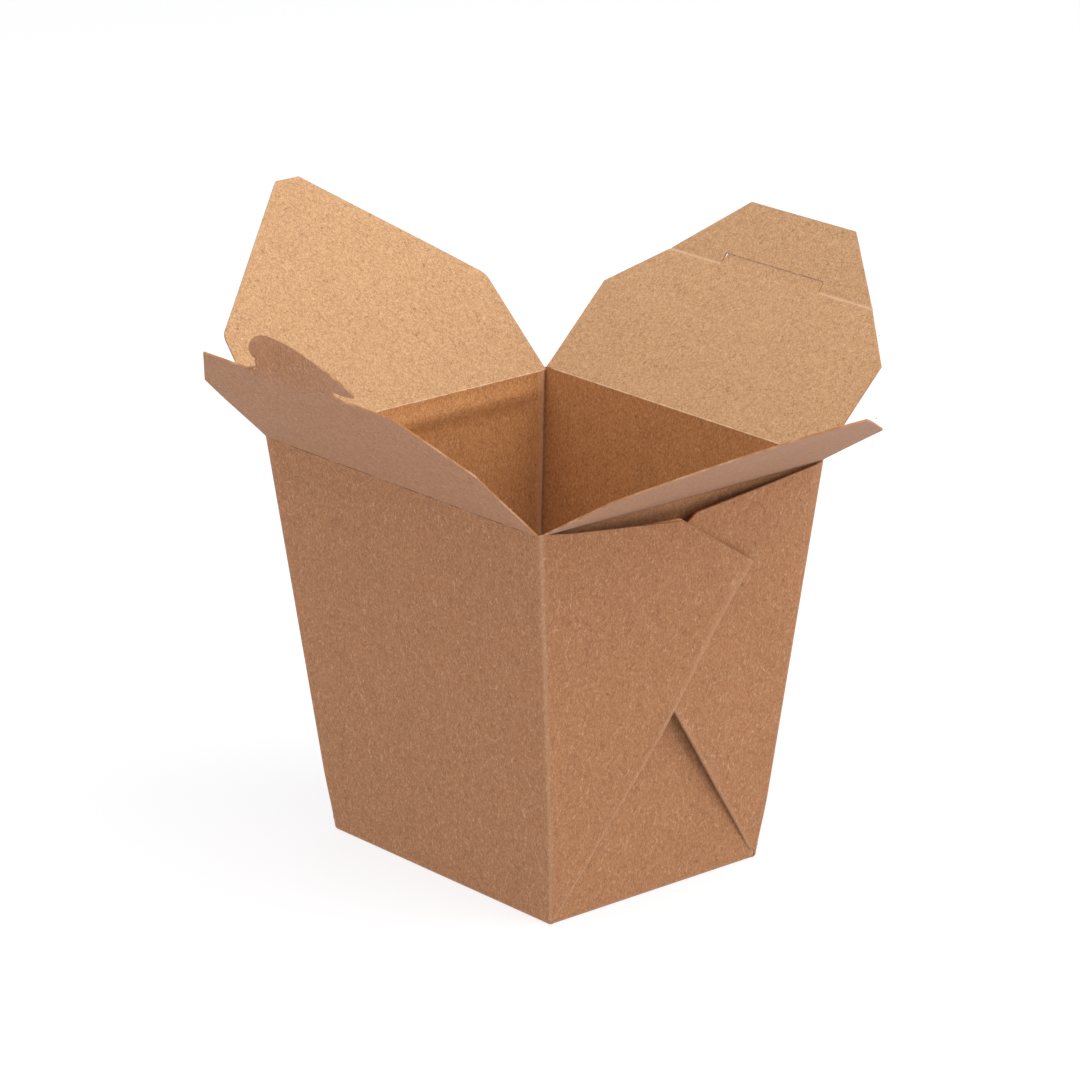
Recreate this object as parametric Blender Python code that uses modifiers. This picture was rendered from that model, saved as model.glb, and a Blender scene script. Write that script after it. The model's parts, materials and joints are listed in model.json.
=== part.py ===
"""Noodle takeaway box: a tapered food pail folded from one sheet of kraft board.

The carton is a tapered tray with a rectangular base and four leaning panels. At each upright
edge the board between two panels is folded double into a web, and the webs lie flat on the
outside of the two gusset panels, one over the other. Four flaps are hinged on the creases at
the mouth: a lock flap with a curled tab, a slot flap opposite it, and two pointed side flaps.

Metres, +Z up. The origin is the centre of the underside of the base. The gusset panels face
+X and -X, the lock flap is at -Y and the slot flap at +Y.
"""
import math

import bmesh
import bpy
from mathutils import Matrix, Vector

MM = 0.001

# The tapered tray, over its folded webs
BASE_X = 81.7 * MM
BASE_Y = 66.7 * MM
MOUTH_X = 103.0 * MM
MOUTH_Y = 89.9 * MM
HEIGHT = 103.2 * MM
BOARD = 0.45 * MM
FOLD_RADIUS = 1.2 * MM
BASE_FOLD_RADIUS = 0.5 * MM

# The webs: a triangle of doubled board with its point cut off, set out from its own corner
WEB = 2 * BOARD
WEB_FOLD_ANGLE = math.radians(34.0)
WEB_FOLD_LENGTH = 100.0 * MM
WEB_TIP_ACROSS = 33.4 * MM
WEB_TIP_UP = 97.9 * MM
WEB_TOP_UP = 102.9 * MM
WEB_ROOT = 0.2 * MM
WEB_EDGE_INSET = 0.05 * MM
WEB_CORNER_BEVEL = 0.7 * WEB
OVER_WEB_RISE = WEB / (36.0 * MM)

# The creases at the mouth; the side flaps fold in first, so their creases are a little lower
CREASE_GAP = 0.65 * MM
SIDE_CREASE_DROP = 0.6 * MM
FLAP_END_GAP = 1.4 * MM
RIM_STEP_BLOCK = 8.0 * MM
RIM_STEP_END = 1.0 * MM

# Flaps: half lengths along the crease, and distances out from it
LOCK_SIDE = 26.0 * MM
LOCK_DEPTH = 43.3 * MM
LOCK_HALF_EDGE = 35.2 * MM
SLOT_SIDE = 27.9 * MM
SLOT_DEPTH = 59.5 * MM
SLOT_HALF_TIP = 18.9 * MM
SLOT_CREASE = 41.3 * MM
SLOT_TIP_BEND = math.radians(7.0)
TONGUE_HALF_ROOT = 17.9 * MM
TONGUE_HALF_TIP = 17.4 * MM
TONGUE_HEIGHT = 3.1 * MM
CUT_WIDTH = 0.35 * MM
SIDE_FLAP_SHOULDER = 28.7 * MM
SIDE_FLAP_NARROWING = 1.3 * MM
SIDE_FLAP_DEPTH = 66.8 * MM
SIDE_FLAP_HALF_TIP = 3.7 * MM
SHOULDER_RADIUS = 5.0 * MM
SHOULDER_TURN = 45.0
SHOULDER_STEPS = 4

# The lock tab: a mushroom on a neck, curled up more at one end than at the other. The curl is
# in radians for each metre of board, and changes along the crease.
TAB_HALF_NECK = 15.6 * MM
TAB_HALF_HEAD = 22.5 * MM
TAB_NOTCH = 0.7 * MM
TAB_NOTCH_DEPTH = 0.6 * MM
TAB_LOBE = 2.6 * MM
TAB_HEIGHT = 9.6 * MM
TAB_ARC = 2.3
TAB_ARC_STEPS = 9
TAB_BENDS = 9
TAB_CURL_START = 5.8 * MM
TAB_CURL = math.radians(5.9) / MM
TAB_CURL_CHANGE = math.radians(0.21) / MM ** 2

# How far each flap leans up from level, outwards
LOCK_LEAN = math.radians(45.4)
SLOT_LEAN = math.radians(44.0)
FRONT_SIDE_LEAN = math.radians(29.5)
REAR_SIDE_LEAN = math.radians(46.0)


def remove_all():
    """Empty the scene."""
    for thing in list(bpy.data.objects):
        bpy.data.objects.remove(thing, do_unlink=True)


def linear(hex_colour):
    """Turn an sRGB hex colour into linear values with alpha."""
    values = [int(hex_colour[i:i + 2], 16) / 255 for i in (0, 2, 4)]
    return [v / 12.92 if v <= 0.04045 else ((v + 0.055) / 1.055) ** 2.4 for v in values] + [1.0]


def kraft(name, hex_colour):
    """Unbleached kraft board, uncoated and matt."""
    material = bpy.data.materials.new(name)
    material.use_nodes = True
    shader = material.node_tree.nodes["Principled BSDF"]
    shader.inputs["Base Color"].default_value = linear(hex_colour)
    shader.inputs["Roughness"].default_value = 0.85
    shader.inputs["Metallic"].default_value = 0.0
    material.diffuse_color = linear(hex_colour)
    return material


def new_collection(name):
    """A collection of that name, linked to the scene."""
    found = bpy.data.collections.new(name)
    bpy.context.scene.collection.children.link(found)
    return found


def mesh_object(name, mesh, collection, material=None):
    """An object for the mesh, in its collection and with its material."""
    mesh.name = name
    made = bpy.data.objects.new(name, mesh)
    collection.objects.link(made)
    if material:
        mesh.materials.append(material)
    return made


def make_cutter(thing):
    """Show a helper as wire and keep it out of the part."""
    thing.hide_render = True
    thing.display_type = "WIRE"
    return thing


def half_x(z):
    """Half the width along X at a height, over the webs."""
    return (BASE_X + (MOUTH_X - BASE_X) * z / HEIGHT) / 2


def half_y(z):
    """Half the width along Y at a height."""
    return (BASE_Y + (MOUTH_Y - BASE_Y) * z / HEIGHT) / 2


def plate(outlines, thickness):
    """A mesh of flat board lying on z = 0, from closed outlines; the second is a cut-out."""
    curve = bpy.data.curves.new("outline", "CURVE")
    curve.dimensions = "2D"
    curve.fill_mode = "BOTH"
    curve.extrude = thickness / 2
    for outline in outlines:
        spline = curve.splines.new("POLY")
        spline.points.add(len(outline) - 1)
        for point, (u, v) in zip(spline.points, outline):
            point.co = (u, v, 0.0, 1.0)
        spline.use_cyclic_u = True
    helper = bpy.data.objects.new("outline", curve)
    bpy.context.scene.collection.objects.link(helper)
    evaluated = helper.evaluated_get(bpy.context.evaluated_depsgraph_get())
    mesh = bpy.data.meshes.new_from_object(evaluated)
    bpy.data.objects.remove(helper)
    bpy.data.curves.remove(curve)
    board = bmesh.new()
    board.from_mesh(mesh)
    bmesh.ops.remove_doubles(board, verts=board.verts, dist=0.001 * MM)
    bmesh.ops.translate(board, verts=board.verts, vec=(0, 0, thickness / 2))
    bmesh.ops.recalc_face_normals(board, faces=board.faces)
    board.to_mesh(mesh)
    board.free()
    return mesh


def slice_mesh(board, axis, stations):
    """Cut the mesh along planes square to an axis, so that it can bend there."""
    normal = Vector((0, 0, 0))
    normal[axis] = 1.0
    for station in stations:
        geometry = board.verts[:] + board.edges[:] + board.faces[:]
        bmesh.ops.bisect_plane(board, geom=geometry, dist=0.001 * MM,
                               plane_co=normal * station, plane_no=normal)


def mirrored(half):
    """A closed outline from its +u half, which starts at the crease and ends at the middle."""
    return half + [(-u, v) for u, v in reversed(half) if u > 0]


def arc(centre, radius, start, end, steps):
    """Points along an arc, angles in degrees."""
    angles = [math.radians(start + (end - start) * i / steps) for i in range(steps + 1)]
    return [(centre[0] + radius * math.cos(a), centre[1] + radius * math.sin(a)) for a in angles]


def main_half_length():
    """Half the length of the lock and slot flaps along their creases."""
    return MOUTH_X / 2 - FLAP_END_GAP


def side_half_length():
    """Half the length of the side flaps along their creases."""
    return MOUTH_Y / 2 - FLAP_END_GAP


def tab_outline():
    """The tab's +u half: up the neck, round the notch and the lobe, and over the head's arc."""
    notch = [(TAB_HALF_NECK + TAB_NOTCH_DEPTH, LOCK_DEPTH),
             (TAB_HALF_NECK, LOCK_DEPTH + TAB_NOTCH / 2),
             (TAB_HALF_NECK + TAB_NOTCH_DEPTH, LOCK_DEPTH + TAB_NOTCH)]
    head = []
    for i in range(TAB_ARC_STEPS + 1):
        turn = math.pi / 2 * i / TAB_ARC_STEPS
        across = TAB_HALF_HEAD * math.cos(turn) ** (2 / TAB_ARC)
        up = (TAB_HEIGHT - TAB_LOBE) * math.sin(turn) ** (2 / TAB_ARC)
        head.append((across if i < TAB_ARC_STEPS else 0.0, LOCK_DEPTH + TAB_LOBE + up))
    return notch + head


def curl(point):
    """Where a point of the lock flap's flat board goes when its tab is curled.

    Beyond the start of the curl the board follows a circle whose curvature changes evenly
    along the crease.
    """
    start = LOCK_DEPTH - TAB_CURL_START
    along = point.y - start
    if along <= 0:
        return point.copy()
    curvature = TAB_CURL + TAB_CURL_CHANGE * point.x
    radius = 1 / curvature - point.z
    turn = curvature * along
    return Vector((point.x, start + radius * math.sin(turn), 1 / curvature - radius * math.cos(turn)))


def lock_flap_mesh():
    """The lock flap: a trapezium with cut corners and the curled tab in the middle."""
    half = [(main_half_length(), 0.0), (main_half_length(), LOCK_SIDE), (LOCK_HALF_EDGE, LOCK_DEPTH)]
    mesh = plate([mirrored(half + tab_outline())], BOARD)
    board = bmesh.new()
    board.from_mesh(mesh)
    start = LOCK_DEPTH - TAB_CURL_START
    reach = TAB_CURL_START + TAB_HEIGHT
    slice_mesh(board, 1, [start + reach * i / TAB_BENDS for i in range(TAB_BENDS)])
    slice_mesh(board, 0, [MOUTH_X / 2 * i / TAB_BENDS for i in range(1 - TAB_BENDS, TAB_BENDS)])
    bmesh.ops.triangulate(board, faces=board.faces)
    for vertex in board.verts:
        vertex.co = curl(vertex.co)
    board.to_mesh(mesh)
    board.free()
    return mesh


def in_tongue(point):
    """Whether a point beyond the slot crease is on the die-cut tongue."""
    middle_of_cut = CUT_WIDTH / 2
    within = abs(point.x) < TONGUE_HALF_ROOT + middle_of_cut
    return within and point.y < SLOT_CREASE + TONGUE_HEIGHT + middle_of_cut


def slot_flap_mesh():
    """The slot flap: its end is bent along the slot crease, and the tongue stays flat."""
    half = [(main_half_length(), 0.0), (main_half_length(), SLOT_SIDE),
            (SLOT_HALF_TIP, SLOT_DEPTH)]
    inner = [(TONGUE_HALF_ROOT, SLOT_CREASE), (TONGUE_HALF_TIP, SLOT_CREASE + TONGUE_HEIGHT)]
    outer = [(u + CUT_WIDTH, v + CUT_WIDTH * i) for i, (u, v) in enumerate(inner)]
    cut = inner + [(-u, v) for u, v in reversed(inner)]
    cut += [(-u, v) for u, v in outer] + list(reversed(outer))
    mesh = plate([mirrored(half), cut], BOARD)
    board = bmesh.new()
    board.from_mesh(mesh)
    slice_mesh(board, 1, [SLOT_CREASE])
    bmesh.ops.triangulate(board, faces=board.faces)
    bend = Matrix.Rotation(SLOT_TIP_BEND, 3, "X")
    pivot = Vector((0, SLOT_CREASE, BOARD))
    for vertex in board.verts:
        if vertex.co.y > SLOT_CREASE + 0.01 * MM and not in_tongue(vertex.co):
            offset = vertex.co - Vector((vertex.co.x, 0, 0)) - pivot
            vertex.co = bend @ offset + pivot + Vector((vertex.co.x, 0, 0))
    board.to_mesh(mesh)
    board.free()
    return mesh


def side_flap_mesh():
    """A side flap: slightly narrowing sides, rounded shoulders and a long taper to its tip."""
    narrow = side_half_length() - SIDE_FLAP_NARROWING
    drop = SHOULDER_RADIUS * math.tan(math.radians(SHOULDER_TURN / 2))
    shoulder = arc((narrow - SHOULDER_RADIUS, SIDE_FLAP_SHOULDER - drop),
                   SHOULDER_RADIUS, 0, SHOULDER_TURN, SHOULDER_STEPS)
    half = [(side_half_length(), 0.0)] + shoulder + [(SIDE_FLAP_HALF_TIP, SIDE_FLAP_DEPTH)]
    return plate([mirrored(half)], BOARD)


def hinge_flap(name, mesh, collection, material, crease, turn, lean):
    """Stand a flap on its crease, turned about Z to face outwards and leaning up from level."""
    flap = mesh_object(name, mesh, collection, material)
    pivot = bpy.data.objects.new(name + "_crease", None)
    collection.objects.link(pivot)
    pivot.location = crease
    pivot.rotation_euler = (0, 0, turn)
    flap.parent = pivot
    flap.rotation_euler = (lean, 0, 0)
    return flap


def tray_mesh():
    """The outside of the tray: an open tapered box with rounded folds."""
    rim = HEIGHT - CREASE_GAP
    tray = bmesh.new()
    bmesh.ops.create_cube(tray, size=2.0)
    for vertex in tray.verts:
        z = rim if vertex.co.z > 0 else 0.0
        vertex.co = Vector((math.copysign(half_x(z) - WEB, vertex.co.x),
                            math.copysign(half_y(z), vertex.co.y), z))
    lid = [face for face in tray.faces if all(v.co.z > rim / 2 for v in face.verts)]
    bmesh.ops.delete(tray, geom=lid, context="FACES_ONLY")
    upright = [e for e in tray.edges if abs(e.verts[0].co.z - e.verts[1].co.z) > rim / 2]
    bmesh.ops.bevel(tray, geom=upright, offset=FOLD_RADIUS, segments=3, profile=0.5,
                    affect="EDGES")
    foot = [e for e in tray.edges if max(v.co.z for v in e.verts) < 0.01 * MM]
    bmesh.ops.bevel(tray, geom=foot, offset=BASE_FOLD_RADIUS, segments=2, profile=0.5,
                    affect="EDGES")
    mesh = bpy.data.meshes.new("tray")
    tray.to_mesh(mesh)
    tray.free()
    return mesh


def web_frame(side, corner):
    """The frame of a gusset panel seen from one corner: across the panel, up it and out of it."""
    origin = Vector((side * (half_x(0) - WEB), corner * half_y(0), 0))
    across = Vector((0, -corner, 0))
    up = Vector((side * (half_x(HEIGHT) - half_x(0)), 0, HEIGHT)).normalized()
    out = Vector((side * up.z, 0, -side * up.x))
    return Matrix((across, up, out)).transposed().to_4x4(), origin


def web(name, side, corner, rise, collection):
    """One folded web, from its own corner, its outer layer rising away from that corner.

    The outline runs up the corner, across to where the two cut edges part, down the chamfer
    to the end of the fold and back along the fold. What lies under the outer layer is solid
    down into the panel, so the layers are one body.
    """
    lean = math.atan2(half_y(HEIGHT) - half_y(0), math.hypot(HEIGHT, half_x(HEIGHT) - half_x(0)))
    fold_end = (WEB_FOLD_LENGTH * math.sin(WEB_FOLD_ANGLE),
                WEB_FOLD_LENGTH * math.cos(WEB_FOLD_ANGLE))
    outline = [(WEB_EDGE_INSET, BASE_FOLD_RADIUS), fold_end, (WEB_TIP_ACROSS, WEB_TIP_UP),
               (WEB_EDGE_INSET - WEB_TOP_UP * math.tan(lean), WEB_TOP_UP)]
    mesh = plate([outline], WEB + WEB_ROOT)
    doubled = bmesh.new()
    doubled.from_mesh(mesh)
    for vertex in doubled.verts:
        reach = vertex.co.x * math.cos(lean) + vertex.co.y * math.sin(lean)
        raised = rise * max(reach, 0.0) if vertex.co.z > WEB_ROOT else 0.0
        vertex.co.z += raised - WEB_ROOT
    corner_edges = [e for e in doubled.edges
                    if all(v.co.z > WEB / 2 and v.co.x < 2 * WEB_EDGE_INSET for v in e.verts)]
    bmesh.ops.bevel(doubled, geom=corner_edges, offset=WEB_CORNER_BEVEL, segments=2, profile=0.5,
                    affect="EDGES")
    matrix, origin = web_frame(side, corner)
    bmesh.ops.transform(doubled, matrix=Matrix.Translation(origin) @ matrix, verts=doubled.verts)
    bmesh.ops.recalc_face_normals(doubled, faces=doubled.faces)
    doubled.to_mesh(mesh)
    doubled.free()
    return make_cutter(mesh_object(name, mesh, collection))


def rim_step(name, side, collection):
    """A block that lowers the rim of a gusset panel to its own crease."""
    low = HEIGHT - SIDE_CREASE_DROP - CREASE_GAP
    block = bmesh.new()
    bmesh.ops.create_cube(block, size=1.0)
    size = Vector((RIM_STEP_BLOCK, MOUTH_Y - 2 * RIM_STEP_END, RIM_STEP_BLOCK / 2))
    centre = Vector((side * (half_x(HEIGHT) - WEB), 0, low + size.z / 2))
    for vertex in block.verts:
        vertex.co = centre + Vector(a * b for a, b in zip(vertex.co, size))
    mesh = bpy.data.meshes.new(name)
    block.to_mesh(mesh)
    block.free()
    return make_cutter(mesh_object(name, mesh, collection))


def build_tray(parts, cutters, material):
    """The tray with its four webs folded on the gusset panels and the rims stepped."""
    tray = mesh_object("box_body", tray_mesh(), parts, material)
    wall = tray.modifiers.new("board", "SOLIDIFY")
    wall.thickness = BOARD
    wall.offset = -1.0
    wall.use_even_offset = True
    for side, place in ((1, "front"), (-1, "rear")):
        under = web(f"under_web_{place}", side, 1, 0.0, cutters)
        over = web(f"over_web_{place}", side, -1, OVER_WEB_RISE, cutters)
        for helper in (under, over):
            join = tray.modifiers.new(helper.name, "BOOLEAN")
            join.operation = "UNION"
            join.object = helper
        step = tray.modifiers.new(f"rim_step_{place}", "BOOLEAN")
        step.operation = "DIFFERENCE"
        step.object = rim_step(f"rim_step_{place}", side, cutters)
    return tray


def build():
    """The whole carton."""
    remove_all()
    parts = new_collection("noodle_takeaway_box")
    cutters = new_collection("cutters")
    build_tray(parts, cutters, kraft("kraft_body", "a87757"))
    main_z = HEIGHT
    side_z = HEIGHT - SIDE_CREASE_DROP
    hinge_flap("lock_flap", lock_flap_mesh(), parts, kraft("kraft_lock_flap", "ac826a"),
               (0, -half_y(HEIGHT), main_z), math.pi, LOCK_LEAN)
    hinge_flap("slot_flap", slot_flap_mesh(), parts, kraft("kraft_slot_flap", "c59773"),
               (0, half_y(HEIGHT), main_z), 0.0, SLOT_LEAN)
    hinge_flap("front_side_flap", side_flap_mesh(), parts, kraft("kraft_front_side_flap", "a97c64"),
               (half_x(HEIGHT) - WEB, 0, side_z), -math.pi / 2, FRONT_SIDE_LEAN)
    hinge_flap("rear_side_flap", side_flap_mesh(), parts, kraft("kraft_rear_side_flap", "d4a57e"),
               (-half_x(HEIGHT) + WEB, 0, side_z), math.pi / 2, REAR_SIDE_LEAN)


build()
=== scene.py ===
"""Noodle takeaway box: the looks of a kraft board food pail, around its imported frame.

The whole wall of the pail is one folded sheet, so it is worked out as one closed ring of board
carried up the box: two main panels, the rounded corners, the doubled webs and the two gusset
panels. The four flaps are sheets of the same board, each on its own hinge.
"""
import json
import math

import bmesh
import bpy
import numpy as np
from mathutils import Matrix, Vector


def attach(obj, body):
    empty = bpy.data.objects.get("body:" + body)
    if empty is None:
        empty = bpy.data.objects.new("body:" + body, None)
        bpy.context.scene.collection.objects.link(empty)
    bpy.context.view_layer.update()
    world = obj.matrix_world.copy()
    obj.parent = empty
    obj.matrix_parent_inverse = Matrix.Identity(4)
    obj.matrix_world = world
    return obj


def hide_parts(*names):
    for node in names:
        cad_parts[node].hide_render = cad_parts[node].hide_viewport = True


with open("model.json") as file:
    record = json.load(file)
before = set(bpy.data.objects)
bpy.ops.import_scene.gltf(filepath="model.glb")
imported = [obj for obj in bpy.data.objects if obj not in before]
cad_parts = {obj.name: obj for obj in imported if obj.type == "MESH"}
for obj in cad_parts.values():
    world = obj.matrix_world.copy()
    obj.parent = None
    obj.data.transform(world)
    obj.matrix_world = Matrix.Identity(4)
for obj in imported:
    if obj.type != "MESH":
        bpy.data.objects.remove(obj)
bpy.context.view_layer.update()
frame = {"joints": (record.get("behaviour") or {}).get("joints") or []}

bl_info = {
    "name": "Noodle takeaway box",
    "version": (1, 0, 0),
    "blender": (4, 5, 0),
    "location": "View3D > Sidebar > Takeaway box",
    "description": "A folded kraft board food pail with its four flaps open",
    "category": "Add Mesh",
}

MM = 0.001
BODY = "box"
INSIDE, CUT_EDGE = 1, 2
WELD = 0.004 * MM
SHARP_FOLD = math.radians(50)
HINGES = {joint["child"]: Vector(joint["pos_m"]) for joint in frame["joints"]}

# Where the flaps point when level; each leans up from there
LEVEL = {
    "lock_flap": (0.0, -1.0, 0.0),
    "slot_flap": (0.0, 1.0, 0.0),
    "front_side_flap": (1.0, 0.0, 0.0),
    "rear_side_flap": (-1.0, 0.0, 0.0),
}

# The tray's middle surfaces, from the hinge axes at the mouth down to the base
MAIN_RIM = HINGES["lock_flap"].z
MAIN_MOUTH = HINGES["slot_flap"].y
GUSSET_RIM = HINGES["front_side_flap"].z
GUSSET_MOUTH = HINGES["front_side_flap"].x
MAIN_FOOT = 33.35 * MM
GUSSET_FOOT = 41.25 * MM
MAIN_FLARE = (MAIN_MOUTH - MAIN_FOOT) / MAIN_RIM
GUSSET_FLARE = (GUSSET_MOUTH - GUSSET_FOOT) / GUSSET_RIM
GUSSET_SLANT = math.hypot(1.0, GUSSET_FLARE)

MAIN_BOW = 0.35 * MM
MAIN_RIPPLE = 0.10 * MM

# Rounded corners, and the doubled webs on the gusset panels. A fold starts near the foot, leans
# in from its corner and ends where the web is cut; the tips are across and up the panel
CORNER_GROWTH = 0.4 * MM
CORNER_BULGE = 0.35 * MM
LAYER = 0.475 * MM
WEB_START = 1.5 * MM
WEB_FOLD_ANGLE = math.radians(33.8)
WEB_FOLD_LENGTH = 99.7 * MM
WEB_FOLD_SHARE = 0.952
WEB_OPENING = 0.05
# Paler colour down the rounded corners and round the webs' outer folds is a painted highlight,
# where those edges catch the light
CORNER_HIGHLIGHT = 0.30
FOLD_EDGE_HIGHLIGHT = 0.15
RIM_WEAR = 0.45
OVER_WEB = {"top": 104.0 * MM, "tip": (31.1 * MM, 98.6 * MM), "inner_tip": (30.4 * MM, 99.4 * MM)}
UNDER_WEB = {"top": 103.3 * MM, "tip": (30.6 * MM, 99.6 * MM), "inner_tip": (30.2 * MM, 99.0 * MM)}

# Flap outlines: half widths along the crease, and distances out from it
FLAP_END = 0.7 * MM
LOCK_SIDE = 26.0 * MM
LOCK_DEPTH = 43.3 * MM
LOCK_HALF_EDGE = 35.2 * MM
LOCK_BOW = -0.35 * MM
SLOT_SIDE = 27.3 * MM
SLOT_DEPTH = 59.2 * MM
SLOT_HALF_TIP = 18.9 * MM
SLOT_CREASE = 41.3 * MM
SLOT_BOW = 0.3 * MM
BEAD_HEIGHT = 0.16 * MM
BEAD_WIDTH = 0.35 * MM
TONGUE_HALF_ROOT = 17.9 * MM
TONGUE_HALF_TIP = 17.4 * MM
TONGUE_HEIGHT = 3.0 * MM
CUT_WIDTH = 0.1 * MM
SIDE_HALF_TIP = 3.7 * MM
SIDE_SHOULDER_RADIUS = 5.0 * MM
SIDE_SHOULDER_TURN = math.radians(52)
SIDE_RIPPLE = 0.12 * MM
FRONT_SIDE_FLAP = {"depth": 66.4 * MM, "shoulder": 28.6 * MM, "narrowing": 2.4 * MM,
                   "bow": -0.1 * MM, "droop": 2.3 * MM}
REAR_SIDE_FLAP = {"depth": 68.6 * MM, "shoulder": 30.2 * MM, "narrowing": 2.1 * MM,
                  "bow": 0.4 * MM, "droop": 0.0}

# The lock tab; its curl is in radians for each metre of board
TAB_SHIFT = -0.7 * MM
TAB_HALF_NECK = 15.3 * MM
HEAD_SHIFT = 3.1 * MM
TAB_HALF_HEAD = 23.1 * MM
TAB_NOTCH = 2.1 * MM
TAB_LOBE = 5.3 * MM
TAB_HEIGHT = 8.8 * MM
TAB_ARC = 2.5
TAB_CURL_START = 4.1 * MM
TAB_CURL = math.radians(4.28) / MM
TAB_CURL_CHANGE = math.radians(-0.144) / MM ** 2
TAB_ROLL_START = 6.0 * MM
TAB_ROLL = math.radians(0.0109) / MM ** 3
TAB_CURL_FADE = 3.0 * MM

# The stage: soft boxes as name, place, width, power and tone, and the camera's direction, its
# place along its own back, up and right, and its lens in millimetres
SWEEP_HALF = 3.0
AIM = (0.0, 0.0, 0.08)
SOFT_BOXES = (
    ("overhead", (0.12, 0.0, 1.20), 1.3, 6.6, "f8faff"),
    ("right_box", (0.80, 0.50, 0.82), 1.5, 15.0, "ffffff"),
    ("left_box", (-0.30, -0.95, 0.85), 1.2, 5.8, "ffffff"),
)
CAMERA_AZIMUTH = math.radians(49.592)
CAMERA_ELEVATION = math.radians(18.587)
CAMERA_ROLL = math.radians(-0.213)
CAMERA_PLACE = (1.2960, 0.0753, -0.00098)
CAMERA_LENS = 173.6


# ----------------------------------------
# Values a user would change


def linear(hex_colour):
    """Turn an sRGB hex colour into linear values with alpha."""
    values = [int(hex_colour[i:i + 2], 16) / 255 for i in (0, 2, 4)]
    return [v / 12.92 if v <= 0.04045 else ((v + 0.055) / 1.055) ** 2.4 for v in values] + [1.0]


def length(name, description, default):
    """A length property."""
    return bpy.props.FloatProperty(name=name, description=description, default=default,
                                   unit="LENGTH", subtype="DISTANCE")


def angle(name, description, degrees):
    """An angle property."""
    return bpy.props.FloatProperty(name=name, description=description,
                                   default=math.radians(degrees), unit="ROTATION", subtype="ANGLE")


def colour(name, description, hex_colour):
    """A colour property with an sRGB hex default."""
    return bpy.props.FloatVectorProperty(name=name, description=description, size=4,
                                         subtype="COLOR", min=0.0, max=1.0,
                                         default=linear(hex_colour))


class NOODLEBOX_PG_sizes(bpy.types.PropertyGroup):
    """Sizes of the board and how far each flap stands open."""
    board: length("Board", "Thickness of the kraft board", 0.45 * MM)
    base_fold: length("Base fold", "Radius of the folds round the base", 0.8 * MM)
    hollow: length("Hollow", "How far the gusset panels bow inwards", 1.3 * MM)
    web_spring: length("Web spring", "How far the top of a web springs off the box", 1.9 * MM)
    lock_lean: angle("Lock flap lean", "Lean of the lock flap up from level", 45.5)
    slot_lean: angle("Slot flap lean", "Lean of the slot flap up from level", 43.8)
    slot_bend: angle("Slot flap bend", "Bend of the slot flap's end along its crease", 6.5)
    front_side_lean: angle("Front side flap lean", "Lean of the front side flap", 31.0)
    rear_side_lean: angle("Rear side flap lean", "Lean of the rear side flap", 44.5)


class NOODLEBOX_PG_colours(bpy.types.PropertyGroup):
    """Colours of the board's faces and edges and of the floor."""
    outside: colour("Outside liner", "Unbleached kraft liner on the outside", "a56f46")
    inside: colour("Inside liner", "Unbleached kraft liner on the flaps' insides", "bf9266")
    # Painted shade: the tray's inside liner is darker and richer than the flaps' insides, for the
    # dim light inside the pail
    shaded_lining: colour("Tray lining", "Inside liner under the tray's thin grease-proof film", "b77c46")
    cut_edge: colour("Cut edge", "Raw pulp where the board is cut", "ab7448")
    # Pale fibres and scuffed folds; on the fold edges and the inner crease ridges this pale colour
    # is also a painted highlight
    pale_wear_and_highlight: colour("Worn fold", "Raised fibres along folds and creases", "dcb795")
    # Painted shade: a dark colour for the thin lines just outside the lock and front side flaps'
    # creases, where the fold's outer valley is in shade
    crease_shade: colour("Broken score", "Shaded pulp in a score seen from outside", "6b4629")
    fibre: colour("Dark fibre", "Dark fibres and bark specks in the pulp", "5f4230")
    floor: colour("Floor", "Grey that dims the pale sweep in shade", "8d8d90")


# ----------------------------------------
# Materials


def add_node(tree, kind, inputs=None, **settings):
    """Add a node, set its properties and inputs, and link the inputs that are sockets."""
    node = tree.nodes.new(kind)
    for name, value in settings.items():
        setattr(node, name, value)
    for name, value in (inputs or {}).items():
        if isinstance(value, bpy.types.NodeSocket):
            tree.links.new(value, node.inputs[name])
        else:
            node.inputs[name].default_value = value
    return node


def new_material(name, base, roughness, sheen=0.0):
    """A material with its Principled shader's constant values set on the shader itself."""
    material = bpy.data.materials.new(name)
    material.use_nodes = True
    shader = material.node_tree.nodes["Principled BSDF"]
    shader.inputs["Base Color"].default_value = base
    shader.inputs["Roughness"].default_value = roughness
    shader.inputs["IOR"].default_value = 1.5
    shader.inputs["Sheen Weight"].default_value = sheen
    shader.inputs["Sheen Roughness"].default_value = 0.5
    material.diffuse_color = base
    return material, material.node_tree, shader


def fibre_lines(tree, place, spacing, width, strength, seed):
    """Short hair-like fibres: thin level lines of a slow noise, broken up by a second noise."""
    offset = add_node(tree, "ShaderNodeVectorMath", {0: place, 1: (seed, 2 * seed, -seed)},
                      operation="ADD").outputs["Vector"]
    slow = add_node(tree, "ShaderNodeTexNoise", {
        "Vector": offset, "Scale": 1 / spacing, "Detail": 2.0, "Distortion": 0.6})
    level = add_node(tree, "ShaderNodeMath", {0: slow.outputs["Fac"], 1: 0.5}, operation="SUBTRACT")
    level = add_node(tree, "ShaderNodeMath", {0: level.outputs[0]}, operation="ABSOLUTE")
    line = add_node(tree, "ShaderNodeMapRange", {
        "Value": level.outputs[0], "From Max": width, "To Min": strength, "To Max": 0.0})
    broken = add_node(tree, "ShaderNodeTexNoise", {
        "Vector": offset, "Scale": 1.7 / spacing, "Detail": 0.0})
    mask = add_node(tree, "ShaderNodeMapRange", {
        "Value": broken.outputs["Fac"], "From Min": 0.55, "From Max": 0.59})
    return add_node(tree, "ShaderNodeMath", {0: line.outputs[0], 1: mask.outputs[0]},
                    operation="MULTIPLY").outputs[0]


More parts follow.
